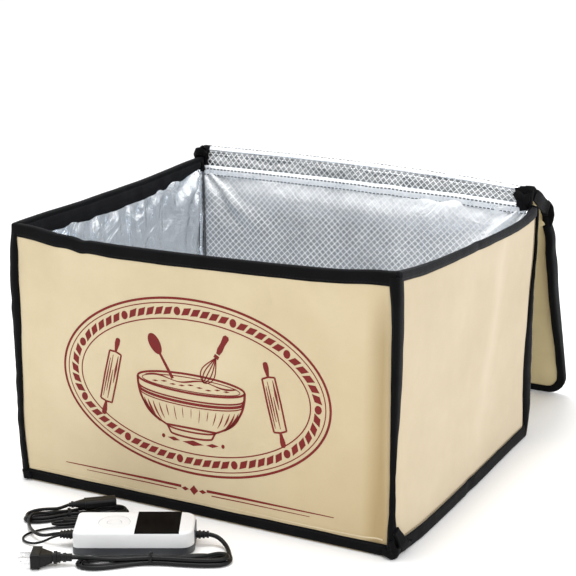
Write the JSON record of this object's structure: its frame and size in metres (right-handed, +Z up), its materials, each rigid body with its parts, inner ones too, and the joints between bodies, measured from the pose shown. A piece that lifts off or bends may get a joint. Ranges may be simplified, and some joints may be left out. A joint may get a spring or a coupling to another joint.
{
  "type": "folding dough proofer",
  "caption": "Soft insulated box with a fold-over lid and a heated floor that collapses flat, with a plug-in controller, its leads and a temperature probe.",
  "frame": {"origin": "centre of the open box's underside, on the surface it stands on", "axes": "+X to the box's right, +Y to its back where the lid hinges, +Z up"},
  "size_m": [0.46, 0.77, 0.3242],
  "materials": {
    "cream_fabric": "woven cream oxford cloth",
    "black_tape": "black woven edge tape",
    "hook_and_loop": "black hook-and-loop tape",
    "foil_foam": "bright quilted aluminium foil on foam",
    "heating_film": "amber heating film",
    "white_plastic": "white satin plastic",
    "dark_grey_plastic": "dark grey plastic",
    "blue_grey_plastic": "dark blue-grey plastic",
    "display_black": "glossy black window",
    "board": "green circuit board",
    "relay_case": "blue relay case",
    "steel": "nickel-plated steel",
    "black_plastic": "black moulded plastic",
    "black_rubber": "black moulded rubber",
    "cord_black": "black cord jacket",
    "tie_black": "black coated tie",
    "clear_vinyl": "clear soft vinyl"
  },
  "bodies": {
    "back_wall": {"back_cover": "cream_fabric", "back_insulation": "foil_foam", "back_binding": "black_tape", "power_inlet": "black_plastic"},
    "right_rear": {"right_rear_cover": "cream_fabric", "right_rear_insulation": "foil_foam", "right_rear_binding": "black_tape", "right_rear_loop_tape": "hook_and_loop"},
    "right_front": {"right_front_cover": "cream_fabric", "right_front_insulation": "foil_foam", "right_front_binding": "black_tape", "right_front_loop_tape": "hook_and_loop"},
    "front_wall": {"front_cover": "cream_fabric", "front_insulation": "foil_foam", "front_binding": "black_tape"},
    "left_rear": {"left_rear_cover": "cream_fabric", "left_rear_insulation": "foil_foam", "left_rear_binding": "black_tape", "left_rear_loop_tape": "hook_and_loop"},
    "left_front": {"left_front_cover": "cream_fabric", "left_front_insulation": "foil_foam", "left_front_binding": "black_tape", "left_front_loop_tape": "hook_and_loop"},
    "floor_rear": {"floor_rear_cover": "cream_fabric", "floor_rear_insulation": "foil_foam", "heating_film_rear": "heating_film", "floor_rear_gussets": "foil_foam"},
    "floor_front": {"floor_front_cover": "cream_fabric", "floor_front_insulation": "foil_foam", "heating_film_front": "heating_film", "floor_front_gussets": "foil_foam"},
    "lid_riser": {"lid_riser_strip": "foil_foam"},
    "lid_arch": {"lid_arch_strip": "foil_foam"},
    "lid": {"lid_cover": "cream_fabric", "lid_insulation": "foil_foam", "lid_binding": "black_tape"},
    "controller": {"case_bottom": "dark_grey_plastic", "case_top": "white_plastic", "display_window": "display_black", "circuit_board": "board", "power_relay": "relay_case", "dome_switches": "steel", "case_screws": "steel", "latch_clip": "blue_grey_plastic", "lead_relief": "black_rubber", "mains_relief": "black_rubber", "mains_cord": "cord_black", "mains_hank": "cord_black", "plug_body": "black_rubber", "plug_blades": "steel", "heater_lead": "cord_black", "heater_hank": "cord_black", "heater_connector": "black_rubber", "probe_lead": "cord_black", "probe_hank": "cord_black", "suction_cup": "clear_vinyl", "probe_rod": "steel", "cord_ties": "tie_black"},
    "control_ring": {"control_ring": "white_plastic"},
    "centre_button": {"centre_button": "white_plastic"}
  },
  "joints": [
    {"name": "fold", "type": "hinge", "parent": "back_wall", "child": "right_rear", "pos_m": [0.223, 0.185, 0], "axis": [0, 0, -1], "range_deg": [0, 90]},
    {"name": "right_crease", "type": "hinge", "parent": "right_rear", "child": "right_front", "pos_m": [0.2315, 0, 0], "axis": [0, 0, 1], "range_deg": [0, 180]},
    {"name": "front_hinge", "type": "hinge", "parent": "right_front", "child": "front_wall", "pos_m": [0.223, -0.185, 0], "axis": [0, 0, -1], "range_deg": [0, 90]},
    {"name": "left_rear_hinge", "type": "hinge", "parent": "back_wall", "child": "left_rear", "pos_m": [-0.223, 0.185, 0], "axis": [0, 0, 1], "range_deg": [0, 90]},
    {"name": "left_crease", "type": "hinge", "parent": "left_rear", "child": "left_front", "pos_m": [-0.2315, 0, 0], "axis": [0, 0, -1], "range_deg": [0, 180]},
    {"name": "floor_hinge", "type": "hinge", "parent": "back_wall", "child": "floor_rear", "pos_m": [0, 0.1925, 0.007], "axis": [-1, 0, 0], "range_deg": [0, 90], "deforming": ["floor_rear_gussets"]},
    {"name": "floor_crease", "type": "hinge", "parent": "floor_rear", "child": "floor_front", "pos_m": [0, 0, -0.009], "axis": [1, 0, 0], "range_deg": [0, 180], "deforming": ["floor_front_gussets"]},
    {"name": "lid_hinge", "type": "hinge", "parent": "back_wall", "child": "lid_riser", "pos_m": [0, 0.199, 0.3045], "axis": [1, 0, 0], "range_deg": [0, 100]},
    {"name": "lid_arch_hinge", "type": "hinge", "parent": "lid_riser", "child": "lid_arch", "pos_m": [0, 0.20178, 0.32026], "axis": [1, 0, 0], "range_deg": [0, 87]},
    {"name": "lid_panel_hinge", "type": "hinge", "parent": "lid_arch", "child": "lid", "pos_m": [0, 0.24942, 0.31441], "axis": [1, 0, 0], "range_deg": [0, 61.67]},
    {"name": "controller_lift", "type": "slide", "parent": "back_wall", "child": "controller", "axis": [0, 0, 1], "range_m": [0, 0.3]},
    {"name": "ring_press", "type": "slide", "parent": "controller", "child": "control_ring", "axis": [0, 0, -1], "range_m": [0, 0.0008], "stiffness_N_per_m": 1500},
    {"name": "button_press", "type": "slide", "parent": "controller", "child": "centre_button", "axis": [0, 0, -1], "range_m": [0, 0.0008], "stiffness_N_per_m": 1500}
  ],
  "couplings": [
    {"joint": "right_crease", "follows": "fold", "ratio": 2},
    {"joint": "front_hinge", "follows": "fold", "ratio": 1},
    {"joint": "left_rear_hinge", "follows": "fold", "ratio": 1},
    {"joint": "left_crease", "follows": "fold", "ratio": 2},
    {"joint": "floor_hinge", "follows": "fold", "ratio": 1},
    {"joint": "floor_crease", "follows": "fold", "ratio": 2},
    {"joint": "lid_arch_hinge", "follows": "lid_hinge", "ratio": 0.87},
    {"joint": "lid_panel_hinge", "follows": "lid_hinge", "ratio": 0.6167}
  ]
}
